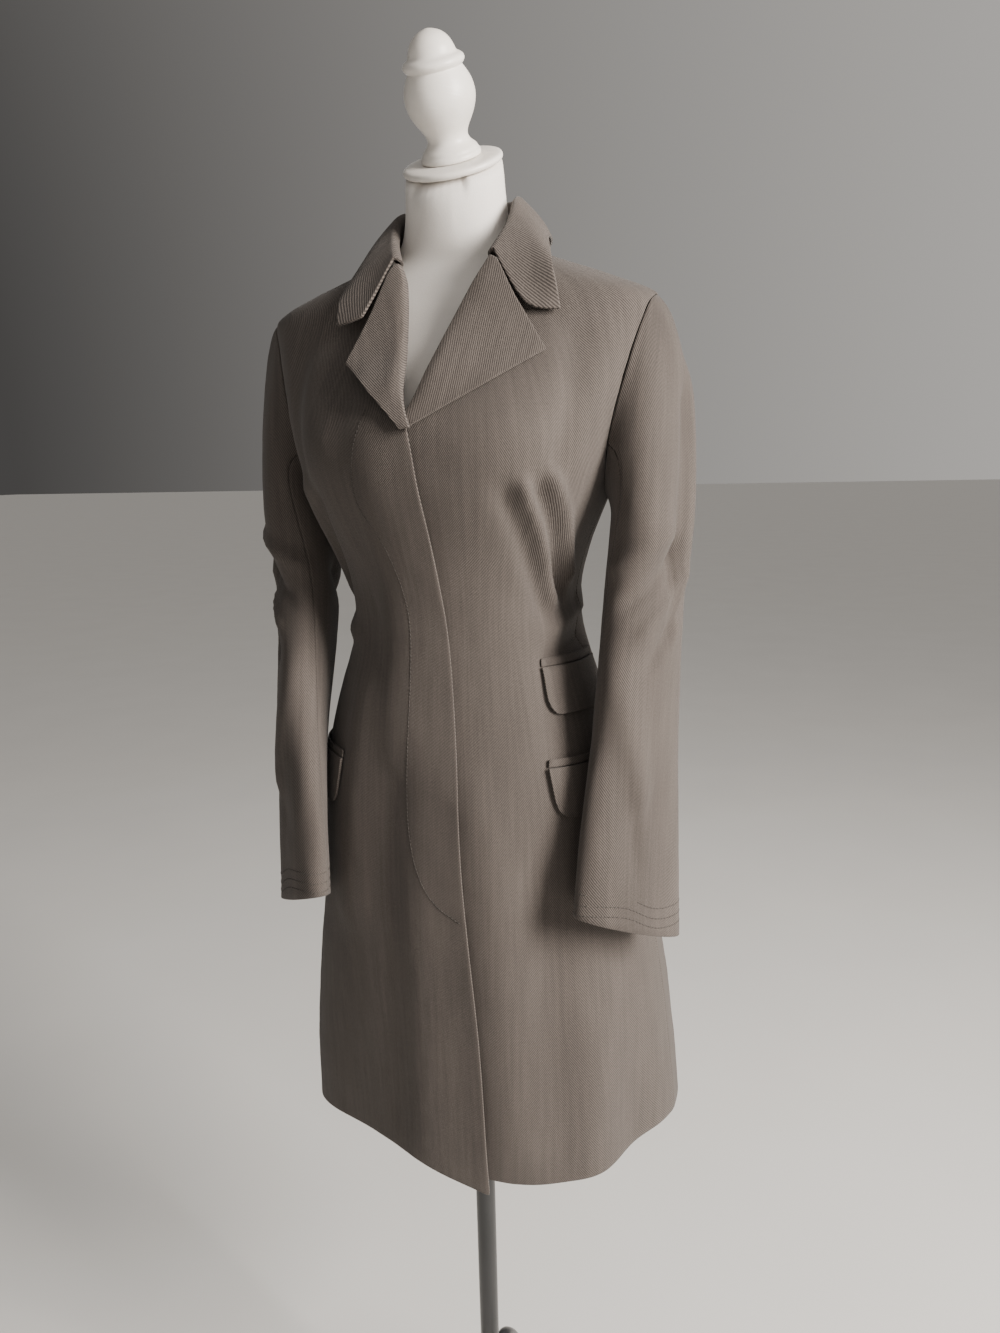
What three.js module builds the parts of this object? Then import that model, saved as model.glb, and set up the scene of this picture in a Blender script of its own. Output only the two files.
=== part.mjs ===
// A woman's slim overcoat with a fly front, worn by a limbless dress form on a tripod stand.
// Millimetres, +Z up, the coat's front towards -Y, the wearer's left towards +X,
// and, until the last lines, the origin on the floor under the stand's pole.
import * as THREE from "three";

// Driving dimensions of the coat
const hemZ = 592; // height of the hem above the floor
const underarmZ = 1254;
const shoulderTipZ = 1431;
const neckPointZ = 1482; // where the shoulder seam meets the neck
const breakZ = 1312; // where the lapels break from the closed fronts
const clothWall = 2.2;
const seamGap = 0.4;
const flyDepth = 7.6; // how far the right front stands off the left front over the buttoned layer
const flyStripWall = 1.6;
const flapWall = 2.6;
const weltWall = 1.4;

// Driving dimensions of the stand
const poleRadius = 11;
const hubZ = 196;
const hubHeight = 52;
const hubRadius = 19;
const formBottomZ = 872;
const neckTopZ = 1551;
const neckTopX = 5;
const neckTopY = -20;
const neckTopRadius = 46;
const neckTilt = THREE.MathUtils.degToRad(29);
const neckDiscRadius = 47;
const neckDiscThick = 9;

// Horizontal sections of the coat's body: half width, the x and y of the middle, depths to front and back
const bodySections = [
  { z: 560, halfWidth: 199, midX: 8, midY: 32, front: 146, back: 166 },
  { z: 592, halfWidth: 198, midX: 8, midY: 30, front: 145, back: 164 },
  { z: 700, halfWidth: 193, midX: 7, midY: 24, front: 142, back: 156 },
  { z: 820, halfWidth: 182, midX: 6, midY: 16, front: 138, back: 148 },
  { z: 900, halfWidth: 173, midX: 4, midY: 10, front: 133, back: 141 },
  { z: 983, halfWidth: 160, midX: 2, midY: 5, front: 124, back: 131 },
  { z: 1050, halfWidth: 141, midX: 0, midY: 2, front: 113, back: 116 },
  { z: 1100, halfWidth: 122, midX: 0, midY: 0, front: 103, back: 104 },
  { z: 1150, halfWidth: 112, midX: 0, midY: -3, front: 98, back: 97 },
  { z: 1200, halfWidth: 120, midX: 0, midY: -6, front: 109, back: 98 },
  { z: 1250, halfWidth: 142, midX: 1, midY: -8, front: 130, back: 103 },
  { z: 1300, halfWidth: 158, midX: 2, midY: -10, front: 140, back: 108 },
  { z: 1340, halfWidth: 170, midX: 3, midY: -12, front: 122, back: 112 },
  { z: 1380, halfWidth: 182, midX: 4, midY: -14, front: 94, back: 110 },
  { z: 1410, halfWidth: 188, midX: 4, midY: -15, front: 76, back: 101 },
  { z: 1431, halfWidth: 188, midX: 4, midY: -16, front: 67, back: 92 },
  { z: 1450, halfWidth: 146, midX: 4, midY: -14, front: 60, back: 84 },
  { z: 1482, halfWidth: 66, midX: 4, midY: -9, front: 53, back: 72 },
  { z: 1500, halfWidth: 60, midX: 4, midY: -10, front: 50, back: 60 },
];
const roundness = 2.3; // exponent of the sections, 2 for an ellipse

// How far the visible edge of the right front passes the centre, towards the wearer's left
const frontEdge = [
  { z: 560, x: 51 },
  { z: 586, x: 49 },
  { z: 743, x: 45 },
  { z: 849, x: 38 },
  { z: 930, x: 33 },
  { z: 1018, x: 30 },
  { z: 1075, x: 25 },
  { z: 1131, x: 20 },
  { z: 1185, x: 16 },
  { z: 1241, x: 16 },
  { z: 1295, x: 11 },
  { z: 1312, x: 9 },
];
// The lapels' folds and, above the gorge, the neckline: x on the wearer's left and right
const rollLine = [
  { z: 1312, left: -9, right: 9 },
  { z: 1335, left: 9, right: -2 },
  { z: 1364, left: 22, right: -10 },
  { z: 1406, left: 38, right: -19 },
  { z: 1440, left: 53, right: -24 },
  { z: 1458, left: 61, right: -32 },
  { z: 1482, left: 69, right: -61 },
];
// Radius of the soft roll along the lapel's fold
const rollRadii = [
  { z: 1312, radius: 0.5 },
  { z: 1332, radius: 0.9 },
  { z: 1360, radius: 4 },
  { z: 1400, radius: 5 },
  { z: 1482, radius: 5 },
];
// The armhole seam: its distance from the body's middle at each height
const armholeX = [
  { z: 1254, x: 143.5 },
  { z: 1264, x: 146 },
  { z: 1300, x: 153 },
  { z: 1340, x: 162 },
  { z: 1380, x: 172 },
  { z: 1410, x: 181 },
  { z: 1424, x: 186 },
  { z: 1431, x: 188 },
];

// Soft folds of the body's cloth: at angle a (degrees from the centre front towards the wearer's left)
// and height z, with half widths and the depth, minus for a trough
const bodyFolds = [
  { angle: 36, z: 592, wide: 15, tall: 190, depth: 9 },
  { angle: 66, z: 592, wide: 15, tall: 160, depth: -14 },
  { angle: 92, z: 600, wide: 12, tall: 150, depth: 4 },
  { angle: 118, z: 592, wide: 14, tall: 190, depth: 9 },
  { angle: -30, z: 592, wide: 13, tall: 170, depth: -7 },
  { angle: -62, z: 592, wide: 15, tall: 200, depth: 9 },
  { angle: -100, z: 592, wide: 14, tall: 180, depth: -7 },
  { angle: 150, z: 592, wide: 12, tall: 200, depth: 8 },
  { angle: -145, z: 592, wide: 13, tall: 210, depth: 8 },
  { angle: 180, z: 592, wide: 11, tall: 190, depth: -6 },
  { angle: 66, z: 1180, wide: 9, tall: 34, depth: -6 },
  { angle: 84, z: 1140, wide: 12, tall: 16, depth: -5 },
  { angle: -72, z: 1150, wide: 10, tall: 26, depth: -6 },
  { angle: 30, z: 1290, wide: 16, tall: 46, depth: 5 },
  { angle: -30, z: 1290, wide: 16, tall: 46, depth: 5 },
  { angle: 64, z: 880, wide: 20, tall: 90, depth: -7 },
  { angle: -64, z: 880, wide: 20, tall: 90, depth: -7 },
];

// The hem's height above hemZ round the body
const hemWave = [
  { angle: -180, rise: 2 },
  { angle: -110, rise: 4 },
  { angle: -70, rise: -2 },
  { angle: -40, rise: 6 },
  { angle: -10, rise: 3 },
  { angle: 12, rise: -10 },
  { angle: 50, rise: 0 },
  { angle: 85, rise: 9 },
  { angle: 115, rise: 0 },
  { angle: 180, rise: 2 },
];

// Hanging sleeves: centre on each side, half length and half width of each section, the turn of its
// long axis from the front-back line towards the front's inner side, and how much higher its front end is
const sleeveSections = [
  { z: 1232, leftX: 187, leftY: -14, rightX: 174, rightY: -16, long: 56, short: 34, turn: 6, rise: 0 },
  { z: 1180, leftX: 184, leftY: -18, rightX: 168, rightY: -24, long: 53, short: 33, turn: 14, rise: 3 },
  { z: 1110, leftX: 182, leftY: -28, rightX: 161, rightY: -48, long: 50, short: 30, turn: 24, rise: 7 },
  { z: 1030, leftX: 181, leftY: -46, rightX: 153, rightY: -80, long: 51, short: 26, turn: 34, rise: 11 },
  { z: 950, leftX: 181, leftY: -66, rightX: 144, rightY: -105, long: 54, short: 22, turn: 42, rise: 15 },
  { z: 860, leftX: 181, leftY: -80, rightX: 147, rightY: -106, long: 57, short: 21, turn: 47, rise: 20 },
];
const sleeveFolds = [
  { around: 95, z: 1190, wide: 30, tall: 20, depth: -6 },
  { around: 60, z: 1225, wide: 26, tall: 18, depth: 4 },
  { around: 20, z: 1175, wide: 34, tall: 20, depth: -5 },
  { around: 330, z: 1215, wide: 26, tall: 30, depth: 5 },
  { around: 90, z: 930, wide: 30, tall: 30, depth: -4 },
  { around: 120, z: 1110, wide: 24, tall: 40, depth: 3 },
];

const clothColour = 0x6f655c;
const cloth = new THREE.MeshStandardMaterial({ color: clothColour, roughness: 0.9, metalness: 0 });
const jersey = new THREE.MeshStandardMaterial({ color: 0xe8e2da, roughness: 0.9, metalness: 0 });
const paintedWood = new THREE.MeshStandardMaterial({ color: 0xece6de, roughness: 0.35, metalness: 0 });
const blackSteel = new THREE.MeshStandardMaterial({ color: 0x15171a, roughness: 0.35, metalness: 0.6 });

const coat = new THREE.Group();

// Smooth value of one column of a table at position at, along the key column
function column(table, key, name, at) {
  const last = table.length - 1;
  const up = table[last][key] > table[0][key] ? 1 : -1;
  let i = 0;
  while (i < last - 1 && (at - table[i + 1][key]) * up > 0) i += 1;
  const span = table[i + 1][key] - table[i][key];
  const t = THREE.MathUtils.clamp((at - table[i][key]) / span, 0, 1);
  const slope = (k) => {
    const a = table[Math.max(k - 1, 0)];
    const b = table[Math.min(k + 1, last)];
    return (b[name] - a[name]) / (b[key] - a[key]);
  };
  const h = t * t * (3 - 2 * t);
  const from = table[i][name];
  const to = table[i + 1][name];
  const early = t * (1 - t) * (1 - t) * span * slope(i);
  const late = t * t * (t - 1) * span * slope(i + 1);
  return from + (to - from) * h + early + late;
}

function bump(distance, width) {
  const d = distance / width;
  return Math.exp(-d * d);
}

function turnBetween(a, b) {
  return ((a - b + 540) % 360) - 180;
}

// Point of the body's outer surface at an angle round the body and a height
function bodyPoint(angle, z) {
  const section = (name) => column(bodySections, "z", name, z);
  const rad = THREE.MathUtils.degToRad(angle);
  const across = Math.sin(rad);
  const along = Math.cos(rad);
  const reach = Math.sign(across) * Math.abs(across) ** (2 / roundness);
  const x = section("midX") + reach * section("halfWidth");
  const depth = along > 0 ? section("front") : section("back");
  const y = section("midY") - Math.sign(along) * Math.abs(along) ** (2 / roundness) * depth;
  const point = new THREE.Vector3(x, y, z);
  let lift = 0;
  for (const f of bodyFolds) {
    lift += f.depth * bump(turnBetween(angle, f.angle), f.wide) * bump(z - f.z, f.tall);
  }
  const out = new THREE.Vector3(x - section("midX"), y - section("midY"), 0).normalize();
  return point.addScaledVector(out, lift);
}

function normalOf(surface, a, b, da, db) {
  const alongA = surface(a + da, b).sub(surface(a - da, b));
  const alongB = surface(a, b + db).sub(surface(a, b - db));
  return alongA.cross(alongB).normalize();
}

// Point at a distance outside the body's outer surface
function onBody(angle, z, off) {
  const out = normalOf(bodyPoint, angle, z, 0.5, 2);
  return bodyPoint(angle, z).addScaledVector(out, off);
}

// Angle round the body of the front point with a given x
function angleAt(x, z) {
  const reach = x - column(bodySections, "z", "midX", z);
  const share = Math.min(Math.abs(reach) / column(bodySections, "z", "halfWidth", z), 1);
  return Math.sign(reach) * THREE.MathUtils.radToDeg(Math.asin(share ** (roundness / 2)));
}

function onFront(x, z, off) {
  return onBody(angleAt(x, z), z, off);
}

// A closed wall from two grids of points: outer and inner, columns by rows
function wallGeometry(columns, rows, pointAt) {
  const positions = [];
  for (const side of [0, 1]) {
    for (let j = 0; j <= rows; j += 1) {
      for (let i = 0; i <= columns; i += 1) {
        positions.push(...pointAt(i / columns, j / rows, side).toArray());
      }
    }
  }
  const sheet = (columns + 1) * (rows + 1);
  const at = (i, j, side) => side * sheet + j * (columns + 1) + i;
  const faces = [];
  const quad = (a, b, c, d) => faces.push(a, b, c, a, c, d);
  for (let j = 0; j < rows; j += 1) {
    for (let i = 0; i < columns; i += 1) {
      quad(at(i, j, 0), at(i + 1, j, 0), at(i + 1, j + 1, 0), at(i, j + 1, 0));
      quad(at(i, j, 1), at(i, j + 1, 1), at(i + 1, j + 1, 1), at(i + 1, j, 1));
    }
    quad(at(0, j, 0), at(0, j + 1, 0), at(0, j + 1, 1), at(0, j, 1));
    quad(at(columns, j, 0), at(columns, j, 1), at(columns, j + 1, 1), at(columns, j + 1, 0));
  }
  for (let i = 0; i < columns; i += 1) {
    quad(at(i, 0, 0), at(i, 0, 1), at(i + 1, 0, 1), at(i + 1, 0, 0));
    quad(at(i, rows, 0), at(i + 1, rows, 0), at(i + 1, rows, 1), at(i, rows, 1));
  }
  return solidFrom(positions, faces);
}

// Indexed geometry whose faces are turned to point out
function solidFrom(positions, faces) {
  const corner = (k) => new THREE.Vector3().fromArray(positions, 3 * k);
  let volume = 0;
  for (let k = 0; k < faces.length; k += 3) {
    const [a, b, c] = [corner(faces[k]), corner(faces[k + 1]), corner(faces[k + 2])];
    volume += a.dot(b.cross(c));
  }
  if (volume < 0) {
    for (let k = 0; k < faces.length; k += 3) {
      [faces[k + 1], faces[k + 2]] = [faces[k + 2], faces[k + 1]];
    }
  }
  const geometry = new THREE.BufferGeometry();
  geometry.setAttribute("position", new THREE.Float32BufferAttribute(positions, 3));
  geometry.setIndex(faces);
  geometry.computeVertexNormals();
  return geometry;
}

// A closed body through rings of points, with a fan over each end
function ringGeometry(rings) {
  const around = rings[0].length;
  const positions = rings.flat().flatMap((p) => p.toArray());
  const faces = [];
  for (let j = 0; j < rings.length - 1; j += 1) {
    for (let i = 0; i < around; i += 1) {
      const a = j * around + i;
      const b = j * around + ((i + 1) % around);
      faces.push(a, b, b + around, a, b + around, a + around);
    }
  }
  for (const [ring, start, turned] of [
    [rings[0], 0, true],
    [rings[rings.length - 1], (rings.length - 1) * around, false],
  ]) {
    const middle = positions.length / 3;
    const centre = new THREE.Vector3();
    ring.forEach((p) => centre.addScaledVector(p, 1 / around));
    positions.push(...centre.toArray());
    for (let i = 0; i < around; i += 1) {
      const a = start + i;
      const b = start + ((i + 1) % around);
      faces.push(middle, turned ? b : a, turned ? a : b);
    }
  }
  return solidFrom(positions, faces);
}

function addPiece(name, geometry, material) {
  const mesh = new THREE.Mesh(geometry, material);
  mesh.name = name;
  coat.add(mesh);
  return mesh;
}

function lerp(a, b, t) {
  return a + (b - a) * t;
}

// Angle of the armhole seam at a height, on the front or the back of one side
function armholeAngle(z, back) {
  const share = column(armholeX, "z", "x", z) / column(bodySections, "z", "halfWidth", z);
  const angle = THREE.MathUtils.radToDeg(Math.asin(Math.min(share, 1) ** (roundness / 2)));
  return back ? 180 - angle : angle;
}

const gapAngle = 0.03; // keeps the panels' edges about seamGap apart

// Rows of a body panel: hem to underarm, then armhole to shoulder seam
const lowRows = 17;
const armRows = 9;
const topEase = 1.4; // draws the rows together towards the shoulder
const bodyRows = lowRows + armRows;

// Height on the hem at an angle
function hemAt(angle) {
  return hemZ + column(hemWave, "angle", "rise", turnBetween(angle, 0));
}

// How far the right front stands off the base surface where it lies over the left
function overlapLift(x, z) {
  const closed = THREE.MathUtils.smoothstep(x, -62, -34);
  const fade = 1 - THREE.MathUtils.smoothstep(z, breakZ + 24, breakZ + 72);
  return flyDepth * closed * fade;
}

function rollX(side, z) {
  return column(rollLine, "z", side > 0 ? "left" : "right", z);
}

// Splits v into the rows below the underarm and those beside the armhole
function splitRows(v) {
  const share = lowRows / bodyRows;
  const low = v <= share;
  return { low, t: low ? v / share : 1 - ((1 - v) / (1 - share)) ** topEase };
}

function frontPanel(side) {
  const right = side < 0;
  const edgeOf = (z) => {
    const x = column(frontEdge, "z", "x", z);
    return right ? x : -Math.min(x, 26);
  };
  return (u, v, inner) => {
    const { low, t } = splitRows(v);
    let angle;
    let z;
    if (low) {
      const corner = right ? 12 * bump(u, 0.12) : 0;
      const bottomZ = hemAt(lerp(right ? 10 : -6, 90 * side, u)) - corner;
      z = lerp(bottomZ, lerp(breakZ, underarmZ, u), t);
      angle = lerp(angleAt(edgeOf(z), z), (90 - gapAngle) * side, u);
    } else {
      const foldZ = lerp(breakZ, neckPointZ, t);
      const armZ = lerp(underarmZ, shoulderTipZ, t);
      const fold = t >= 1 ? (90 - gapAngle) * side : angleAt(rollX(side, foldZ), foldZ);
      z = lerp(foldZ, armZ, u);
      angle = lerp(fold, (armholeAngle(armZ, false) - gapAngle) * side, u);
    }
    const lift = right ? overlapLift(bodyPoint(angle, z).x, z) : 0;
    return onBody(angle, z, lift - inner * clothWall);
  };
}

// The back's top row follows the neckline to the shoulder seam, then the seam
const neckShare = 0.3;
const backNeckZ = 1477;

function backPanel(side) {
  return (u, v, inner) => {
    const { low, t } = splitRows(v);
    let angle;
    let z;
    if (low) {
      z = lerp(hemAt(lerp(180, 90, u) * side), underarmZ, t);
      angle = lerp(180 - gapAngle, 90 + gapAngle, u);
    } else {
      const neck = Math.min(u / neckShare, 1);
      const seam = Math.max(u - neckShare, 0) / (1 - neckShare);
      const topZ = lerp(lerp(backNeckZ, neckPointZ, neck ** 3), shoulderTipZ, seam);
      const sideAngle = armholeAngle(lerp(underarmZ, shoulderTipZ, t), true) + gapAngle;
      const topAngle = lerp(180 - gapAngle, sideAngle, neck ** 0.8);
      z = lerp(underarmZ, topZ, t);
      const plain = lerp(180 - gapAngle, sideAngle, u);
      angle = lerp(plain, topAngle, THREE.MathUtils.smoothstep(t, 0.35, 1));
    }
    return onBody(angle * side, z, -inner * clothWall);
  };
}

// Sides of the body: +1 the wearer's left, -1 the wearer's right
const sides = [
  { side: 1, name: "left" },
  { side: -1, name: "right" },
];
for (const { side, name } of sides) {
  addPiece(`front_${name}`, wallGeometry(13, bodyRows, frontPanel(side)), cloth);
  addPiece(`back_${name}`, wallGeometry(10, bodyRows, backPanel(side)), cloth);
}

// The layer under the right front's edge that hides the fastening
const flyStrip = { fromX: -30, edgeInset: 2.5, bottomZ: 760, topZ: 1262, lift: 0.6 };
addPiece(
  "fly_strip",
  wallGeometry(4, 18, (u, v, inner) => {
    const z = lerp(flyStrip.bottomZ, flyStrip.topZ, v);
    const x = lerp(flyStrip.fromX, column(frontEdge, "z", "x", z) - flyStrip.edgeInset, u);
    const room = overlapLift(x, z) - clothWall;
    const middle = Math.max(room / 2, flyStrip.lift + flyStripWall / 2);
    return onFront(x, z, middle + (0.5 - inner) * flyStripWall);
  }),
  cloth,
);

// Lapels: they roll over at the fold, then lie on the chest out to the tip
const lapelTopZ = 1458;
const lapelBottomZ = breakZ + 2;
const lapels = [
  { name: "left", side: 1, tipX: 113, tipZ: 1378, belly: 3, edgeLift: 3.5 },
  { name: "right", side: -1, tipX: -60, tipZ: 1368, belly: 0, edgeLift: 12 },
];
const rollShare = 0.34; // share of the lapel's columns in the roll
const foldGap = 1.5;

// A sheet that leaves a front panel at its fold, turns through half a circle and lies back on it
function turnedBack(side, foldX, foldZ, outX, outZ, w, edgeLift, inner) {
  const radius = column(rollRadii, "z", "radius", foldZ);
  const angle = angleAt(foldX, foldZ);
  const normal = normalOf(bodyPoint, angle, foldZ, 0.5, 2);
  const base = side < 0 ? overlapLift(foldX, foldZ) : 0;
  if (w < rollShare) {
    const turn = (w / rollShare) * Math.PI;
    const open = new THREE.Vector3(0, 0, 1).cross(normal).multiplyScalar(-side);
    const reach = radius + inner * clothWall;
    const start = onBody(angle, foldZ, base + radius);
    const sweep = foldGap + reach * Math.sin(turn);
    return start.addScaledVector(normal, -reach * Math.cos(turn)).addScaledVector(open, sweep);
  }
  const s = (w - rollShare) / (1 - rollShare);
  const x = lerp(foldX, outX, s);
  const z = lerp(foldZ, outZ, s);
  const under = side < 0 ? overlapLift(x, z) : 0;
  const away = lerp(2 * radius, edgeLift, THREE.MathUtils.smoothstep(s, 0, 1));
  return onBody(angleAt(x, z), z, Math.max(under, base * (1 - s)) + away + inner * clothWall);
}

for (const { name, side, tipX, tipZ, belly, edgeLift } of lapels) {
  const geometry = wallGeometry(11, 12, (w, v, inner) => {
    const foldZ = lerp(lapelBottomZ, lapelTopZ, v);
    const bow = belly * Math.sin(Math.PI * v) * side;
    const outX = lerp(rollX(side, lapelBottomZ) + 5 * side, tipX, v) + bow;
    const outZ = lerp(lapelBottomZ - 1, tipZ, v);
    const rise = lerp(0.8, edgeLift, v);
    return turnedBack(side, rollX(side, foldZ), foldZ, outX, outZ, w, rise, inner);
  });
  addPiece(`lapel_${name}`, geometry, cloth);
}

// Collar: sections round the neck from the wearer's left to the right, each with the angle of its seam
// on the neckline, the top of its fold and its outer edge
const collarSections = [
  { angle: 43, seamZ: 1473, fx: 66, fy: -46, fz: 1496, ex: 112, ey: -72, ez: 1455 },
  { angle: 88, seamZ: 1482, fx: 64, fy: -18, fz: 1521, ex: 94, ey: -22, ez: 1486 },
  { angle: 118, seamZ: 1480, fx: 53, fy: 24, fz: 1529, ex: 80, ey: 38, ez: 1490 },
  { angle: 150, seamZ: 1477, fx: 31, fy: 47, fz: 1533, ex: 50, ey: 76, ez: 1475 },
  { angle: 180, seamZ: 1477, fx: 4, fy: 56, fz: 1534, ex: 4, ey: 92, ez: 1470 },
  { angle: -150, seamZ: 1477, fx: -23, fy: 47, fz: 1532, ex: -42, ey: 76, ez: 1474 },
  { angle: -118, seamZ: 1480, fx: -45, fy: 24, fz: 1527, ex: -64, ey: 36, ez: 1490 },
  { angle: -88, seamZ: 1482, fx: -54, fy: -16, fz: 1517, ex: -73, ey: -24, ez: 1484 },
  { angle: -37, seamZ: 1473, fx: -44, fy: -50, fz: 1490, ex: -83, ey: -82, ez: 1440 },
];
const collarEnds = [
  { side: 1, notchX: 92, notchZ: 1412, cornerX: 122, cornerZ: 1412, lift: 4.5 },
  { side: -1, notchX: -52, notchZ: 1407, cornerX: -79, cornerZ: 1405, lift: 12 },
];
const collarWall = 2.6;
const collarRoll = 4.5;
const seamRise = { least: 3.2, front: 5.4 }; // the front ends stand higher by the second value
const gorgeShift = 2.5; // keeps the collar's front ends off the fronts

// Points of one collar section from the seam over the fold to the edge
function collarSection(row) {
  const seam = onBody(row.angle, row.seamZ, -clothWall / 2);
  seam.z += seamRise.least + seamRise.front * bump(Math.abs(row.angle) - 40, 10);
  const fold = new THREE.Vector3(row.fx, row.fy, row.fz);
  const edge = new THREE.Vector3(row.ex, row.ey, row.ez);
  const out = edge.clone().sub(fold).setZ(0).normalize();
  const inside = fold.clone().addScaledVector(out, -collarRoll * 0.9).setZ(fold.z - collarRoll);
  const outside = fold.clone().addScaledVector(out, collarRoll).setZ(fold.z - collarRoll * 0.8);
  const stand = seam.clone().lerp(inside, 0.55);
  const fall = outside.clone().lerp(edge, 0.5).addScaledVector(out, 3);
  return [seam, stand, inside, fold, outside, fall, edge];
}

// The gorge end, which rolls over like the lapel and follows the gorge to the notch and the corner
function gorgeSection({ side, notchX, notchZ, cornerX, cornerZ, lift }) {
  const foldZ = lapelTopZ + 4;
  const foldX = rollX(side, foldZ) - gorgeShift * side;
  const point = (w, outX, outZ, up) => turnedBack(side, foldX, foldZ, outX, outZ, w, up, 0.5);
  const notch = point(1, notchX, notchZ + 3, lift + 2);
  const corner = point(1, cornerX, cornerZ, lift);
  const roll = [0, 0.25, 0.5, 0.75, 0.98].map((share) =>
    point(rollShare * share, notchX, notchZ, lift),
  );
  return [...roll, notch, corner];
}

const collarRows = [
  gorgeSection(collarEnds[0]),
  ...collarSections.map(collarSection),
  gorgeSection(collarEnds[1]),
];
const collarLines = collarRows[0].map(
  (_, k) => new THREE.CatmullRomCurve3(collarRows.map((row) => row[k]), false, "catmullrom", 0.5),
);

function collarPoint(u, v) {
  const along = THREE.MathUtils.clamp(u, 0, 1);
  const profile = new THREE.CatmullRomCurve3(collarLines.map((line) => line.getPoint(along)));
  return profile.getPoint(THREE.MathUtils.clamp(v, 0, 1));
}

addPiece(
  "collar",
  wallGeometry(28, 12, (u, v, inner) => {
    const out = normalOf(collarPoint, u, v, 0.01, 0.02);
    return collarPoint(u, v).addScaledVector(out, (inner - 0.5) * collarWall);
  }),
  cloth,
);

// Pocket flaps with a welt above each; start and length run from the front end round the body
const pockets = [
  { name: "ticket", side: 1, topZ: 1100, startX: 97, length: 88, height: 43 },
  { name: "left", side: 1, topZ: 1010, startX: 108, length: 126, height: 47 },
  { name: "right", side: -1, topZ: 1007, startX: 95, length: 130, height: 48 },
];
const flapLift = 1.1;
const flapSlant = 13;
const flapCorner = 16;
const weltHeight = 7;
const weltLift = 0.9;

// Point outside a panel at a distance round the body from a starting x
function roundBody(side, startX, z, distance, off) {
  const first = angleAt(startX * side, z);
  const radius = (column(bodySections, "z", "halfWidth", z) + column(bodySections, "z", "front", z)) / 2;
  return onBody(first + THREE.MathUtils.radToDeg(distance / radius) * side, z, off);
}

// Rounds the corner of a rectangle at s = 0, d = height
function roundedCorner(s, d, height) {
  const x = flapCorner - s;
  const y = d - (height - flapCorner);
  if (x <= 0 || y <= 0) return [s, d];
  const k = Math.max(x, y) / Math.hypot(x, y);
  return [flapCorner - x * k, height - flapCorner + y * k];
}

for (const { name, side, topZ, startX, length, height } of pockets) {
  addPiece(
    `flap_${name}`,
    wallGeometry(12, 7, (u, v, inner) => {
      const spread = length * u ** 1.3;
      const [s, d] = roundedCorner(spread, height * v, height);
      const slanted = s + (flapSlant * d * (1 - u)) / height;
      return roundBody(side, startX, topZ - d, slanted, flapLift + (1 - inner) * flapWall);
    }),
    cloth,
  );
  addPiece(
    `welt_${name}`,
    wallGeometry(10, 1, (u, v, inner) => {
      const z = topZ + 0.8 + weltHeight * v;
      return roundBody(side, startX, z, length * u, weltLift + (1 - inner) * weltWall);
    }),
    cloth,
  );
}

// Sleeves: from the armhole over the sleeve head into the hanging tube, as a top and an under sleeve
const capRows = 8;
const tubeRows = 13;
const seamTurns = { front: 118, back: 242 }; // degrees round the sleeve from its outer side
const armholeGap = 1.9;
const capBend = { least: 20, most: 158 }; // bend at the armhole seam, at the shoulder and the underarm

// Armhole edge at a turn round the sleeve: 0 the shoulder tip, 90 the front, 180 the underarm
function armholeFrame(side, turn) {
  const edge = (t) => {
    const rad = THREE.MathUtils.degToRad(t);
    const z = lerp(underarmZ, shoulderTipZ, (1 + Math.cos(rad)) / 2);
    const angle = armholeAngle(z, Math.sin(rad) < 0);
    return { angle: angle * side, z };
  };
  const here = edge(turn);
  const point = onBody(here.angle, here.z, 0);
  const normal = normalOf(bodyPoint, here.angle, here.z, 0.5, 2).multiplyScalar(1);
  const [a, b] = [edge(turn - 2), edge(turn + 2)];
  const along = onBody(b.angle, b.z, 0).sub(onBody(a.angle, a.z, 0)).normalize();
  const away = along.cross(normal).multiplyScalar(-side).normalize();
  return { point, normal, away };
}

function tubePoint(side, turn, z) {
  const value = (name) => column(sleeveSections, "z", name, z);
  const rad = THREE.MathUtils.degToRad(turn);
  const outwards = value("short") * Math.cos(rad);
  const forwards = value("long") * Math.sin(rad);
  const tilt = THREE.MathUtils.degToRad(value("turn"));
  const [middleX, middleY] = side > 0 ? ["leftX", "leftY"] : ["rightX", "rightY"];
  const x = value(middleX) + outwards * Math.cos(tilt) - forwards * Math.sin(tilt);
  const y = value(middleY) - outwards * Math.sin(tilt) - forwards * Math.cos(tilt);
  const point = new THREE.Vector3(x * side, y, z + value("rise") * Math.sin(rad));
  let lift = 0;
  for (const f of sleeveFolds) {
    lift += f.depth * bump(turnBetween(turn, f.around), f.wide) * bump(z - f.z, f.tall);
  }
  const out = new THREE.Vector3(Math.cos(rad - tilt) * side, -Math.sin(rad), 0);
  return point.addScaledVector(out, lift);
}

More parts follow.
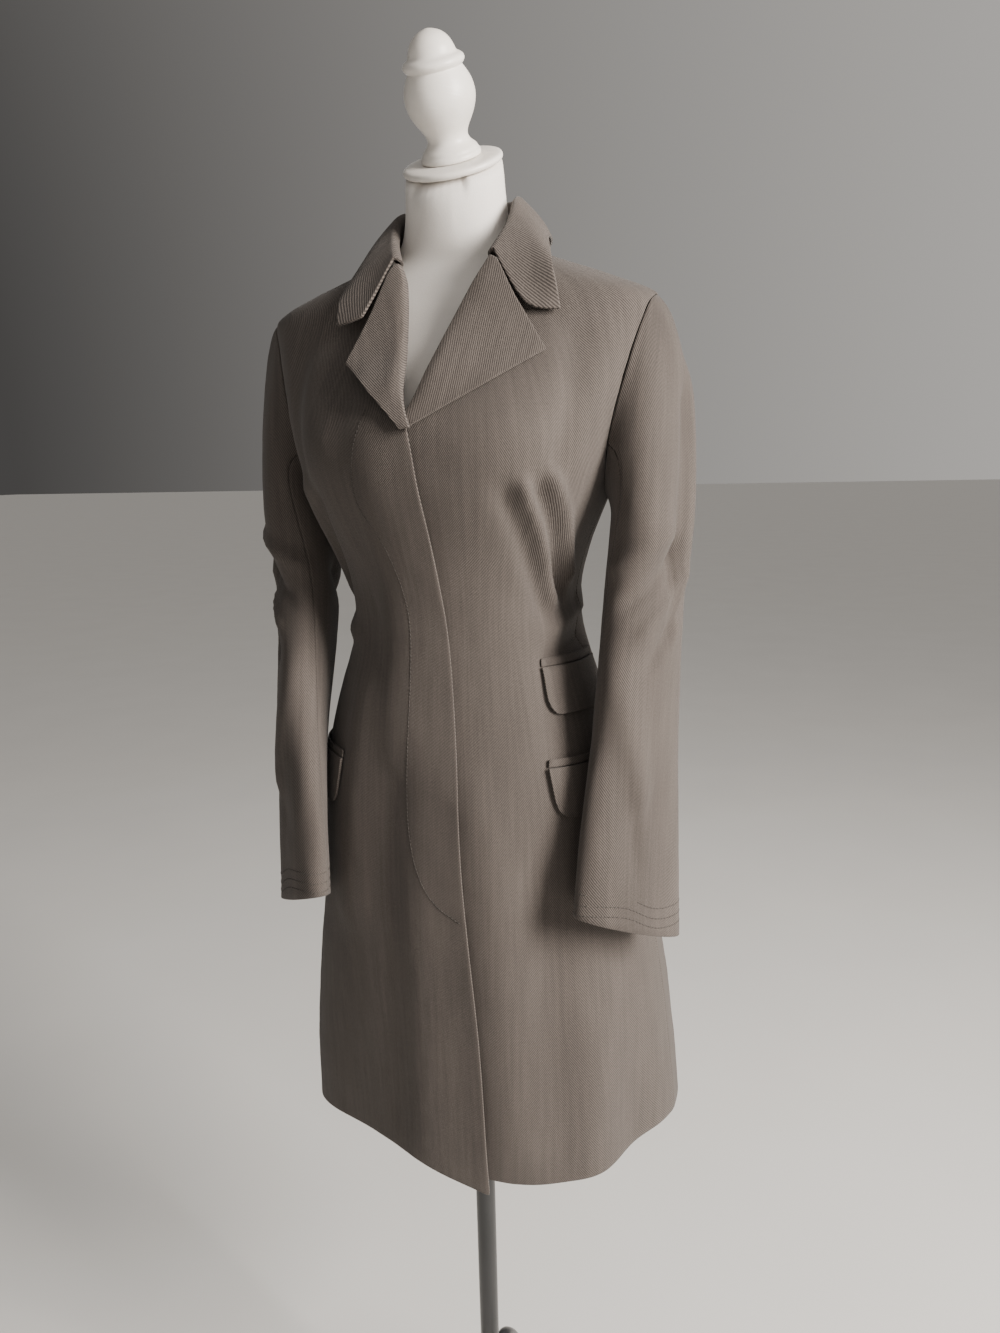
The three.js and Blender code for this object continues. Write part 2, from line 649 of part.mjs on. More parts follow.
// Outer surface of the sleeve: v from 0 at the armhole to 1 at the cuff
function sleevePoint(side, turn, v) {
  const share = capRows / (capRows + tubeRows);
  const topZ = sleeveSections[0].z;
  const cuff = sleeveSections[sleeveSections.length - 1].z;
  if (v >= share) {
    return tubePoint(side, turn, lerp(topZ, cuff, (v - share) / (1 - share)));
  }
  const t = Math.max(v, 0) / share;
  const { point, normal, away } = armholeFrame(side, turn);
  const low = (1 - Math.cos(THREE.MathUtils.degToRad(turn))) / 2;
  const bend = THREE.MathUtils.degToRad(lerp(capBend.least, capBend.most, low ** 1.2));
  const leave = away.clone().multiplyScalar(Math.cos(bend)).addScaledVector(normal, Math.sin(bend));
  const half = away.multiplyScalar(Math.cos(bend / 2)).addScaledVector(normal, Math.sin(bend / 2));
  const start = point.addScaledVector(half, armholeGap);
  const end = tubePoint(side, turn, topZ);
  const span = start.distanceTo(end);
  const before = start.clone().addScaledVector(leave, Math.min(0.3 * span, 24));
  const drop = tubePoint(side, turn, topZ - 1).sub(end).normalize();
  const after = end.clone().addScaledVector(drop, -0.5 * span);
  return new THREE.CubicBezierCurve3(start, before, after, end).getPoint(t);
}

for (const { side, name } of sides) {
  for (const under of [false, true]) {
    const from = under ? seamTurns.front : seamTurns.back - 360;
    const to = under ? seamTurns.back : seamTurns.front;
    const geometry = wallGeometry(under ? 8 : 14, capRows + tubeRows, (u, v, inner) => {
      const turn = lerp(from + 0.2, to - 0.2, u);
      const surface = (a, b) => sleevePoint(side, a, b);
      const out = normalOf(surface, turn, THREE.MathUtils.clamp(v, 0.006, 0.994), 1, 0.005);
      return surface(turn, v).addScaledVector(out, inner * clothWall * -side);
    });
    addPiece(`sleeve_${under ? "under" : "top"}_${name}`, geometry, cloth);
  }
}

// Dress form
const formSections = [
  { z: 872, halfWidth: 160, midY: 10, front: 108, back: 118 },
  { z: 930, halfWidth: 156, midY: 7, front: 112, back: 120 },
  { z: 983, halfWidth: 145, midY: 5, front: 108, back: 114 },
  { z: 1050, halfWidth: 126, midY: 2, front: 98, back: 101 },
  { z: 1100, halfWidth: 108, midY: 0, front: 89, back: 90 },
  { z: 1150, halfWidth: 97, midY: -3, front: 84, back: 83 },
  { z: 1200, halfWidth: 104, midY: -6, front: 94, back: 84 },
  { z: 1250, halfWidth: 120, midY: -8, front: 115, back: 89 },
  { z: 1300, halfWidth: 138, midY: -10, front: 126, back: 93 },
  { z: 1340, halfWidth: 150, midY: -12, front: 111, back: 97 },
  { z: 1380, halfWidth: 158, midY: -14, front: 86, back: 95 },
  { z: 1410, halfWidth: 162, midY: -15, front: 66, back: 88 },
  { z: 1427, halfWidth: 158, midY: -15, front: 56, back: 80 },
  { z: 1448, halfWidth: 138, midY: -13, front: 36, back: 71 },
  { z: 1468, halfWidth: 88, midY: -10, front: 32, back: 61 },
  { z: 1480, halfWidth: 57, midY: -9, front: 38, back: 51 },
  { z: 1510, halfWidth: 47, midY: -14, front: 45, back: 45 },
];
const aroundForm = 36;
const formX = 4;
const neckAxis = new THREE.Vector3(0, -Math.sin(neckTilt), Math.cos(neckTilt));
const neckFlat = new THREE.Vector3(0, -Math.cos(neckTilt), -Math.sin(neckTilt));
const neckTop = new THREE.Vector3(neckTopX, neckTopY, neckTopZ);

function formRing(row) {
  const power = row.z > 1440 ? 1 : 2 / roundness;
  return Array.from({ length: aroundForm }, (_, k) => {
    const rad = (k / aroundForm) * 2 * Math.PI;
    const [across, along] = [Math.sin(rad), Math.cos(rad)];
    const depth = along > 0 ? row.front : row.back;
    const x = Math.sign(across) * Math.abs(across) ** power * row.halfWidth;
    return new THREE.Vector3(x + formX, row.midY - Math.sign(along) * Math.abs(along) ** power * depth, row.z);
  });
}

const neckRing = formRing(formSections[0]).map((_, k) => {
  const rad = (k / aroundForm) * 2 * Math.PI;
  const side = new THREE.Vector3(Math.sin(rad) * neckTopRadius, 0, 0);
  return neckTop.clone().add(side).addScaledVector(neckFlat, Math.cos(rad) * neckTopRadius);
});
addPiece("form_torso", ringGeometry([...formSections.map(formRing), neckRing]), jersey);

// What stands on the neck, turned about the neck's tilted axis
const finialOutline = [
  { r: 28, h: 0 },
  { r: 28, h: 4 },
  { r: 26, h: 5.5 },
  { r: 25.5, h: 8.5 },
  { r: 20.5, h: 11.9 },
  { r: 18, h: 17.1 },
  { r: 20, h: 23.1 },
  { r: 27, h: 32.6 },
  { r: 31.5, h: 42.9 },
  { r: 32.5, h: 51.5 },
  { r: 30.5, h: 61 },
  { r: 25.5, h: 69.6 },
  { r: 24.5, h: 71.3 },
  { r: 27.6, h: 73.9 },
  { r: 28, h: 77.3 },
  { r: 25.5, h: 80.3 },
  { r: 21.5, h: 81.6 },
  { r: 20.5, h: 86.8 },
  { r: 17, h: 93.7 },
  { r: 11, h: 98.8 },
  { r: 4, h: 101 },
];
const discEdge = 3;
const discOutline = [
  { r: neckDiscRadius - discEdge, h: 0 },
  { r: neckDiscRadius, h: discEdge },
  { r: neckDiscRadius, h: neckDiscThick - discEdge },
  { r: neckDiscRadius - discEdge, h: neckDiscThick },
];

function addTurned(name, outline, height, material) {
  const points = outline.map(({ r, h }) => new THREE.Vector2(r, h));
  const last = outline[outline.length - 1];
  points.unshift(new THREE.Vector2(0, 0));
  points.push(new THREE.Vector2(0, last.h + (last.r < 10 ? 0.8 : 0)));
  const mesh = addPiece(name, new THREE.LatheGeometry(points, 24), material);
  mesh.quaternion.setFromUnitVectors(new THREE.Vector3(0, 1, 0), neckAxis);
  mesh.position.copy(neckTop).addScaledVector(neckAxis, height);
}

addTurned("neck_cap", discOutline, 0.4, paintedWood);
addTurned("finial", finialOutline, neckDiscThick + 0.8, paintedWood);

// Stand: pole, hub and three bowed legs
const legCount = 3;
const legWidth = 16;
const legThick = 9;

function addUpright(name, radius, fromZ, toZ, material) {
  const geometry = new THREE.CylinderGeometry(radius, radius, toZ - fromZ, 28);
  geometry.rotateX(Math.PI / 2);
  const mesh = addPiece(name, geometry, material);
  mesh.position.z = (fromZ + toZ) / 2;
}

addUpright("pole", poleRadius, hubZ + hubHeight + 0.4, formBottomZ - 0.4, blackSteel);
addUpright("hub", hubRadius, hubZ, hubZ + hubHeight, blackSteel);

// Centre line of a leg in its own plane: out from the hub, over a shoulder and down to a flat foot
const legLine = [
  { out: 21.6, z: 225 },
  { out: 40, z: 234 },
  { out: 64, z: 223 },
  { out: 104, z: 165 },
  { out: 150, z: 93 },
  { out: 205, z: 30 },
  { out: 244, z: 5 },
  { out: 284, z: 4.5 },
];
const legCurve = new THREE.CatmullRomCurve3(legLine.map(({ out, z }) => new THREE.Vector3(out, 0, z)));
const legSteps = 22;
const footSteps = 3; // rings of a leg that lie flat on the floor

function legGeometry() {
  const rings = [];
  for (let k = 0; k <= legSteps; k += 1) {
    const centre = legCurve.getPoint(k / legSteps);
    if (k > legSteps - footSteps) centre.z = legThick / 2;
    const tangent = legCurve.getTangent(k / legSteps);
    const up = new THREE.Vector3(-tangent.z, 0, tangent.x);
    const rise = k > legSteps - footSteps ? new THREE.Vector3(0, 0, 1) : up;
    rings.push(
      [
        [-1, -1],
        [1, -1],
        [1, 0.3],
        [0.5, 1],
        [-0.5, 1],
        [-1, 0.3],
      ].map(([across, tall]) =>
        centre
          .clone()
          .add(new THREE.Vector3(0, (across * legWidth) / 2, 0))
          .addScaledVector(rise, (tall * legThick) / 2),
      ),
    );
  }
  return ringGeometry(rings);
}

for (let k = 0; k < legCount; k += 1) {
  const mesh = addPiece(`leg_${k + 1}`, legGeometry(), blackSteel);
  mesh.rotation.z = THREE.MathUtils.degToRad(90 + (k * 360) / legCount);
}

// The frame's origin is the middle of the part's bounding box, on the floor
const box = new THREE.Box3().setFromObject(coat);
const middle = box.getCenter(new THREE.Vector3());
coat.position.set(-middle.x, -middle.y, -box.min.z);

export default coat;
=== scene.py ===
from math import atan2, cos, exp, hypot, pi, radians, sin

import bmesh
import bpy
from mathutils import Matrix, Vector, noise
from mathutils.bvhtree import BVHTree


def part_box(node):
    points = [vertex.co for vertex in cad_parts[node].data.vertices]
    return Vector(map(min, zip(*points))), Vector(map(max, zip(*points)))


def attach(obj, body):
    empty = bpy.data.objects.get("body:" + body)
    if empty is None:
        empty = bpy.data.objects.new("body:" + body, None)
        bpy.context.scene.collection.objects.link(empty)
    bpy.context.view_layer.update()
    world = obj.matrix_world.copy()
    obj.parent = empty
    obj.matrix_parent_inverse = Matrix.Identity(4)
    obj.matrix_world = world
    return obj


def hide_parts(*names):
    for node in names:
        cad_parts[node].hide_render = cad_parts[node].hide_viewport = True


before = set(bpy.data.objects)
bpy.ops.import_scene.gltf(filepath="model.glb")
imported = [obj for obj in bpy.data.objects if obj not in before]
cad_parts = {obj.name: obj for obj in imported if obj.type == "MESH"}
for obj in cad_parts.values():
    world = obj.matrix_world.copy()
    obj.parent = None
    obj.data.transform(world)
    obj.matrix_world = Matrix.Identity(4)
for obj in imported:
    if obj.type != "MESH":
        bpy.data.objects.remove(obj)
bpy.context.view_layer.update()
print("frame loaded")


def middleOf(node):
    low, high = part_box(node)
    return (low + high) / 2


pole = middleOf("pole")
bodyAxis = Vector((pole.x + 0.004, pole.y - 0.004))  # upright axis that the body's cloth goes round

# Soft folds of the body's cloth, each a line from one angle and height to another
bodyFolds = [
    {"from": (40, 1.262), "to": (64, 1.165), "width": 0.008, "depth": 0.0080},
    {"from": (50, 1.272), "to": (76, 1.185), "width": 0.007, "depth": 0.0072},
    {"from": (46, 1.258), "to": (70, 1.172), "width": 0.007, "depth": -0.0065},
    {"from": (34, 1.255), "to": (57, 1.160), "width": 0.009, "depth": -0.0044},
    {"from": (66, 1.135), "to": (96, 1.150), "width": 0.009, "depth": 0.0058},
    {"from": (60, 1.108), "to": (92, 1.120), "width": 0.008, "depth": -0.0048},
    {"from": (-58, 1.262), "to": (-72, 1.170), "width": 0.010, "depth": 0.0061},
    {"from": (-48, 1.255), "to": (-66, 1.165), "width": 0.009, "depth": -0.0051},
    {"from": (-62, 1.130), "to": (-95, 1.148), "width": 0.010, "depth": 0.0058},
    {"from": (-40, 1.060), "to": (-46, 0.860), "width": 0.022, "depth": 0.0051},
    {"from": (22, 0.960), "to": (30, 0.640), "width": 0.028, "depth": 0.0059},
    {"from": (48, 0.900), "to": (52, 0.610), "width": 0.024, "depth": -0.0068},
    {"from": (-20, 0.980), "to": (-26, 0.640), "width": 0.024, "depth": -0.0051},
    {"from": (60, 1.385), "to": (52, 1.300), "width": 0.014, "depth": -0.0051},
    {"from": (-60, 1.385), "to": (-52, 1.300), "width": 0.014, "depth": -0.0051},
    {"from": (150, 1.170), "to": (176, 1.150), "width": 0.010, "depth": 0.0051},
    {"from": (-150, 1.172), "to": (-176, 1.152), "width": 0.010, "depth": 0.0051},
    {"from": (130, 1.000), "to": (136, 0.640), "width": 0.026, "depth": 0.0068},
    {"from": (-130, 1.000), "to": (-136, 0.640), "width": 0.026, "depth": 0.0068},
]
# Folds of a sleeve: angle round it from its outer side towards the front, and height
sleeveFolds = [
    {"from": (-8, 1.360), "to": (6, 1.140), "width": 0.010, "depth": 0.0057},
    {"from": (20, 1.330), "to": (34, 1.180), "width": 0.012, "depth": -0.0057},
    {"from": (30, 1.205), "to": (95, 1.165), "width": 0.008, "depth": -0.0076},
    {"from": (50, 1.222), "to": (110, 1.195), "width": 0.008, "depth": 0.0065},
    {"from": (0, 1.150), "to": (60, 1.110), "width": 0.009, "depth": -0.0057},
    {"from": (15, 1.180), "to": (75, 1.138), "width": 0.008, "depth": 0.0057},
    {"from": (100, 1.090), "to": (60, 0.990), "width": 0.016, "depth": 0.0053},
    {"from": (115, 1.030), "to": (70, 0.930), "width": 0.018, "depth": -0.0022},
    {"from": (20, 0.985), "to": (95, 0.945), "width": 0.016, "depth": -0.0022},
    {"from": (180, 1.180), "to": (250, 1.150), "width": 0.010, "depth": -0.0065},
]
weaveRadius = {"body": 0.15, "sleeve": 0.05, "collar": 0.075}  # metres of weave for each radian round
weaveJump = {"any": 0.12, "body": 0.4}
ripple = {"height": 0.0009, "size": 0.055, "fine": 0.00035, "fineSize": 0.016}


def foldLift(folds, angle, z, radius):
    lift = 0.0
    for fold in folds:
        (a0, z0), (a1, z1) = fold["from"], fold["to"]
        across = radians((angle - a0 + 180) % 360 - 180) * radius
        run = radians((a1 - a0 + 180) % 360 - 180) * radius
        drop = z1 - z0
        length = hypot(run, drop)
        along = (across * run + (z - z0) * drop) / length**2
        away = abs(across * drop - (z - z0) * run) / length
        past = max(-along, along - 1, 0) * length
        lift += fold["depth"] * exp(-((away / fold["width"]) ** 2) - (past / (1.6 * fold["width"])) ** 2)
    return lift


def rippleAt(point):
    wide = noise.noise(point / ripple["size"]) * ripple["height"]
    return wide + noise.noise(point / ripple["fineSize"]) * ripple["fine"]


def bodyShift(point):
    out = Vector((point.x - bodyAxis.x, point.y - bodyAxis.y, 0))
    angle = atan2(out.x, -out.y) * 180 / pi
    lift = foldLift(bodyFolds, angle, point.z, out.length)
    return out.normalized() * (lift + rippleAt(out.normalized() * 0.12 + Vector((0, 0, point.z))))


def sleeveAxis(side):
    rows = []
    for z in (0.87, 0.95, 1.03, 1.11, 1.18, 1.24, 1.31, 1.38, 1.45):
        near = []
        for node in ("sleeve_top_" + side, "sleeve_under_" + side):
            near += [v.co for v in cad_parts[node].data.vertices if abs(v.co.z - z) < 0.03]
        if near:
            xs = [p.x for p in near]
            ys = [p.y for p in near]
            rows.append((z, (min(xs) + max(xs)) / 2, (min(ys) + max(ys)) / 2))
    return rows


def axisAt(rows, z):
    if z <= rows[0][0]:
        return rows[0][1], rows[0][2]
    for (z0, x0, y0), (z1, x1, y1) in zip(rows, rows[1:]):
        if z <= z1:
            t = (z - z0) / (z1 - z0)
            return x0 + (x1 - x0) * t, y0 + (y1 - y0) * t
    return rows[-1][1], rows[-1][2]


sleeveAxes = {side: sleeveAxis(side) for side in ("left", "right")}


def sleeveShift(side):
    way = 1 if side == "left" else -1

    def shift(point):
        x, y = axisAt(sleeveAxes[side], point.z)
        out = Vector((point.x - x, point.y - y, 0))
        angle = atan2(-out.y, out.x * way) * 180 / pi
        seamFade = min(max((1.40 - point.z) / 0.06, 0), 1)
        lift = foldLift(sleeveFolds, angle, point.z, 0.05) * seamFade
        return out.normalized() * (lift + rippleAt(point) * 0.8)

    return shift


def bodyWeave(point):
    out = Vector((point.x - bodyAxis.x, point.y - bodyAxis.y))
    return atan2(out.x, -out.y) * weaveRadius["body"], point.z


def sleeveWeave(side):
    def weave(point):
        x, y = axisAt(sleeveAxes[side], point.z)
        return atan2(point.y - y, abs(point.x) - abs(x)) * weaveRadius["sleeve"], point.z

    return weave


def tiltedWeave(turn, aroundBy=0.0):
    def weave(point):
        u, v = point.x, point.z
        if aroundBy:
            u = atan2(point.x - bodyAxis.x, -point.y + bodyAxis.y) * aroundBy
        return u * cos(turn) - v * sin(turn), u * sin(turn) + v * cos(turn)

    return weave


# Materials
def newMaterial(name):
    material = bpy.data.materials.new(name)
    material.use_nodes = True
    tree = material.node_tree
    return material, tree, tree.nodes["Principled BSDF"]


def link(tree, source, target):
    tree.links.new(source, target)


def mathNode(tree, operation, first, second):
    node = tree.nodes.new("ShaderNodeMath")
    node.operation = operation
    for socket, value in zip(node.inputs, (first, second)):
        if isinstance(value, (int, float)):
            socket.default_value = value
        elif value is not None:
            link(tree, value, socket)
    return node.outputs[0]


def noiseNode(tree, vector, scale, detail, stretch=(1, 1, 1)):
    mapping = tree.nodes.new("ShaderNodeMapping")
    mapping.inputs["Scale"].default_value = stretch
    link(tree, vector, mapping.inputs["Vector"])
    node = tree.nodes.new("ShaderNodeTexNoise")
    node.inputs["Scale"].default_value = scale
    node.inputs["Detail"].default_value = detail
    link(tree, mapping.outputs[0], node.inputs["Vector"])
    return node.outputs["Fac"]


def rampNode(tree, factor, stops):
    node = tree.nodes.new("ShaderNodeValToRGB")
    elements = node.color_ramp.elements
    for k, (at, colour) in enumerate(stops):
        element = elements[k] if k < 2 else elements.new(at)
        element.position = at
        element.color = (*colour, 1)
    link(tree, factor, node.inputs[0])
    return node.outputs[0]


def mixColours(tree, blend, factor, first, second):
    node = tree.nodes.new("ShaderNodeMix")
    node.data_type = "RGBA"
    node.blend_type = blend
    node.inputs[0].default_value = factor
    link(tree, first, node.inputs[6])
    link(tree, second, node.inputs[7])
    return node.outputs[2]


def bumpNode(tree, height, distance):
    node = tree.nodes.new("ShaderNodeBump")
    node.inputs["Distance"].default_value = distance
    node.inputs["Strength"].default_value = 1.0
    link(tree, height, node.inputs["Height"])
    return node.outputs[0]


twill = {
    "period": 0.0021,  # from one diagonal rib to the next
    "dark": (0.036, 0.030, 0.027),
    "light": (0.118, 0.099, 0.087),
    "bump": 0.00030,
    "slope": 0.62,
    "tighten": 1.18,
    "wander": 2.4,
}


def twillMaterial(name, paintedLightFactor=1.0):
    material, tree, surface = newMaterial(name)
    cloth = tree.nodes.new("ShaderNodeUVMap")
    cloth.uv_map = "weave"
    at = cloth.outputs[0]
    place = tree.nodes.new("ShaderNodeSeparateXYZ")
    link(tree, at, place.inputs[0])
    wobble = noiseNode(tree, at, 180, 2)
    climb = mathNode(tree, "MULTIPLY", place.outputs[1], twill["slope"])
    diagonal = mathNode(tree, "ADD", place.outputs[0], climb)
    phase = mathNode(tree, "MULTIPLY", diagonal, 2 * pi / twill["period"] * twill["tighten"])
    wandered = mathNode(tree, "ADD", phase, mathNode(tree, "MULTIPLY", wobble, twill["wander"]))
    ribs = mathNode(tree, "SINE", wandered, None)
    ribs = mathNode(tree, "ADD", mathNode(tree, "MULTIPLY", ribs, 0.5), 0.5)
    threads = noiseNode(tree, at, 900, 2, (1, 0.45, 1))
    streaks = noiseNode(tree, at, 24, 4, (9, 0.45, 1))
    cloudy = noiseNode(tree, at, 9, 3)
    tone = mathNode(tree, "MULTIPLY", ribs, 0.50)
    for part, share in ((threads, 0.36), (streaks, 0.30), (cloudy, 0.16)):
        tone = mathNode(tree, "ADD", tone, mathNode(tree, "MULTIPLY", part, share))
    # The colour is scaled by this factor: 1 for the plain twill, above 1 for a lighter copy of the same
    # cloth that is a painted highlight
    dark = tuple(c * paintedLightFactor for c in twill["dark"])
    light = tuple(c * paintedLightFactor for c in twill["light"])
    colour = rampNode(tree, tone, [(0.42, dark), (0.95, light)])
    link(tree, colour, surface.inputs["Base Color"])
    raised = mathNode(tree, "MULTIPLY", threads, 0.7)
    height = mathNode(tree, "ADD", mathNode(tree, "MULTIPLY", ribs, 0.6), raised)
    link(tree, bumpNode(tree, height, twill["bump"]), surface.inputs["Normal"])
    surface.inputs["Roughness"].default_value = 0.88
    surface.inputs["Specular IOR Level"].default_value = 0.25
    surface.inputs["Sheen Weight"].default_value = 0.10
    surface.inputs["Sheen Roughness"].default_value = 0.45
    return material


def jerseyMaterial():
    material, tree, surface = newMaterial("jersey")
    at = tree.nodes.new("ShaderNodeTexCoord").outputs["Object"]
    knit = noiseNode(tree, at, 1400, 2, (1, 1, 0.5))
    soft = noiseNode(tree, at, 14, 3)
    mottled = rampNode(tree, soft, [(0.3, (0.70, 0.655, 0.61)), (0.75, (0.79, 0.755, 0.715))])
    grain = rampNode(tree, knit, [(0.3, (0.9, 0.9, 0.9)), (0.7, (1, 1, 1))])
    link(tree, mixColours(tree, "MULTIPLY", 0.6, mottled, grain), surface.inputs["Base Color"])
    link(tree, bumpNode(tree, knit, 0.00015), surface.inputs["Normal"])
    surface.inputs["Roughness"].default_value = 0.9
    surface.inputs["Sheen Weight"].default_value = 0.15
    return material


def paintMaterial():
    material, tree, surface = newMaterial("painted_wood")
    at = tree.nodes.new("ShaderNodeTexCoord").outputs["Object"]
    soft = noiseNode(tree, at, 22, 4)
    brush = noiseNode(tree, at, 60, 3, (1, 1, 6))
    colour = rampNode(tree, soft, [(0.3, (0.70, 0.655, 0.60)), (0.8, (0.80, 0.765, 0.72))])
    link(tree, colour, surface.inputs["Base Color"])
    link(tree, bumpNode(tree, brush, 0.0002), surface.inputs["Normal"])
    rough = rampNode(tree, brush, [(0.3, (0.32, 0.32, 0.32)), (0.8, (0.46, 0.46, 0.46))])
    link(tree, rough, surface.inputs["Roughness"])
    return material


def steelMaterial():
    material, tree, surface = newMaterial("black_steel")
    at = tree.nodes.new("ShaderNodeTexCoord").outputs["Object"]
    fine = noiseNode(tree, at, 420, 2)
    scuffs = noiseNode(tree, at, 30, 5, (1, 1, 0.3))
    colour = rampNode(tree, scuffs, [(0.35, (0.006, 0.0065, 0.007)), (0.85, (0.022, 0.022, 0.023))])
    link(tree, colour, surface.inputs["Base Color"])
    rough = rampNode(tree, scuffs, [(0.3, (0.24, 0.24, 0.24)), (0.8, (0.42, 0.42, 0.42))])
    link(tree, rough, surface.inputs["Roughness"])
    link(tree, bumpNode(tree, fine, 0.00006), surface.inputs["Normal"])
    surface.inputs["Coat Weight"].default_value = 0.12
    return material


def threadMaterial():
    material, tree, surface = newMaterial("thread")
    at = tree.nodes.new("ShaderNodeTexCoord").outputs["Object"]
    ply = noiseNode(tree, at, 2500, 1)
    colour = rampNode(tree, ply, [(0.3, (0.026, 0.022, 0.019)), (0.7, (0.060, 0.051, 0.044))])
    link(tree, colour, surface.inputs["Base Color"])
    surface.inputs["Roughness"].default_value = 0.7
    return material


materials = {
    "wool_twill": twillMaterial("wool_twill"),
    # A lighter copy of the same twill, 1.08 times as bright: a painted highlight for the lapels and collar
    # where light falls on them
    "wool_painted_highlight": twillMaterial("wool_twill_painted_highlight", 1.08),
    "jersey": jerseyMaterial(),
    "painted_wood": paintMaterial(),
    "black_steel": steelMaterial(),
    "thread": threadMaterial(),
}
print("materials made")


# Meshes: a smooth copy of a CAD solid, with the wall's edges kept
def smoothMesh(node, creaseAngle, levels, rim):
    work = bmesh.new()
    work.from_mesh(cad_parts[node].data)
    bmesh.ops.remove_doubles(work, verts=work.verts, dist=2e-6)
    bmesh.ops.join_triangles(
        work, faces=work.faces, angle_face_threshold=radians(35), angle_shape_threshold=radians(70)
    )
    layer = work.edges.layers.float.new("crease_edge")
    for edge in work.edges:
        if len(edge.link_faces) == 2 and edge.calc_face_angle(0) > radians(creaseAngle):
            edge[layer] = rim
    mesh = bpy.data.meshes.new(node + "_cage")
    work.to_mesh(mesh)
    work.free()
    cage = bpy.data.objects.new(node + "_cage", mesh)
    bpy.context.scene.collection.objects.link(cage)
    subdivide = cage.modifiers.new("smooth", "SUBSURF")
    subdivide.levels = levels
    subdivide.render_levels = levels
    found = cage.evaluated_get(bpy.context.evaluated_depsgraph_get())
    finished = bpy.data.meshes.new_from_object(found)
    bpy.data.objects.remove(cage)
    bpy.data.meshes.remove(mesh)
    return finished


def addPiece(name, mesh, material, slot, nodes):
    mesh.materials.clear()
    mesh.materials.append(materials[material])
    for polygon in mesh.polygons:
        polygon.use_smooth = True
    piece = bpy.data.objects.new(name, mesh)
    bpy.context.scene.collection.objects.link(piece)
    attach(piece, "root")
    if nodes:
        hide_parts(*nodes)
    return piece


def weaveMap(mesh, weave):
    layer = mesh.uv_layers.new(name="weave")
    for polygon in mesh.polygons:
        spots = [weave(mesh.vertices[mesh.loops[k].vertex_index].co) for k in polygon.loop_indices]
        for k, (u, v) in zip(polygon.loop_indices, spots):
            jump = spots[0][0] - u
            if abs(jump) > weaveJump["any"]:  # the face crosses the line where the angle starts again
                turned = 2 * pi * weaveRadius["body" if abs(jump) > weaveJump["body"] else "sleeve"]
                u += turned if jump > 0 else -turned
            layer.data[k].uv = (u, v)


def closeTo(mesh, neighbours, reach, keep):
    nearby = []
    for other in neighbours:
        work = bmesh.new()
        work.from_mesh(pieces[other].data)
        nearby.append(BVHTree.FromBMesh(work))
        work.free()
    for vertex in mesh.vertices:
        found = [tree.find_nearest(vertex.co, reach * 2) for tree in nearby]
        found = [hit for hit in found if hit[0] is not None]
        if not found:
            continue
        spot, _, _, distance = min(found, key=lambda hit: hit[3])
        if distance > keep:
            pull = exp(-((distance / reach) ** 2)) * (distance - keep) / distance
            vertex.co += (spot - vertex.co) * pull


# Each piece's cut, width by length in metres. Shift and weave are the body's where none is given
clothPieces = {
    "front_left": {"cut": (0.335, 0.880), "levels": 3},
    "front_right": {"cut": (0.335, 0.880), "levels": 3},
    "back_left": {"cut": (0.300, 0.900), "levels": 2},
    "back_right": {"cut": (0.300, 0.900), "levels": 2},
    "fly_strip": {"cut": (0.070, 0.510), "levels": 2},
    "lapel_left": {"cut": (0.130, 0.170), "levels": 3, "weave": tiltedWeave(0.25)},
    "lapel_right": {"cut": (0.130, 0.170), "levels": 3, "weave": tiltedWeave(-0.35)},
    "collar": {"cut": (0.500, 0.130), "levels": 3, "weave": tiltedWeave(0.15, weaveRadius["collar"])},
    "flap_ticket": {"cut": (0.095, 0.050), "levels": 3, "on": "front_left"},
    "flap_left": {"cut": (0.133, 0.055), "levels": 3, "on": "front_left"},
    "flap_right": {"cut": (0.133, 0.055), "levels": 3, "on": "front_right"},
    "welt_ticket": {"cut": (0.095, 0.0115), "levels": 2, "on": "front_left"},
    "welt_left": {"cut": (0.133, 0.0115), "levels": 2, "on": "front_left"},
    "welt_right": {"cut": (0.133, 0.0115), "levels": 2, "on": "front_right"},
}
for side in ("left", "right"):
    own = {"levels": 2, "shift": sleeveShift(side), "weave": sleeveWeave(side)}
    clothPieces["sleeve_top_" + side] = {"cut": (0.225, 0.640), **own}
    clothPieces["sleeve_under_" + side] = {"cut": (0.125, 0.480), **own}
seam = {
    "neighbours": ["front_left", "front_right", "back_left", "back_right"],
    "reach": 0.0035,
    "keep": 0.0004,
}
# Lapels and collar take the lighter copy of the twill, a painted highlight where they catch the light
paintedHighlightPieces = ("lapel_left", "lapel_right", "collar")
crease = {"angle": 50, "cloth": 0.92, "stand": 0.9}
pieces = {}
for node, look in clothPieces.items():
    mesh = smoothMesh(node, crease["angle"], look["levels"], crease["cloth"])
    weaveMap(mesh, look.get("weave", bodyWeave))
    shift = look.get("shift", bodyShift)
    for vertex in mesh.vertices:
        vertex.co += shift(vertex.co)
    if node.startswith("sleeve"):
        closeTo(mesh, seam["neighbours"], seam["reach"], seam["keep"])
    # Painted highlight: the lapels and collar get the lighter twill copy, the rest the plain twill
    material = "wool_painted_highlight" if node in paintedHighlightPieces else "wool_twill"
    piece = addPiece("cloth_" + node, mesh, material, "wool_twill", [node])
    pieces[node] = piece
    area = sum(polygon.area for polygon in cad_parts[node].data.polygons) / 2  # flat, before folds
    print(node, "area", round(area, 5), "of", round(look["cut"][0] * look["cut"][1], 5))
    restsOn = [look["on"]] if "on" in look else ["form_torso"]
print("cloth made")

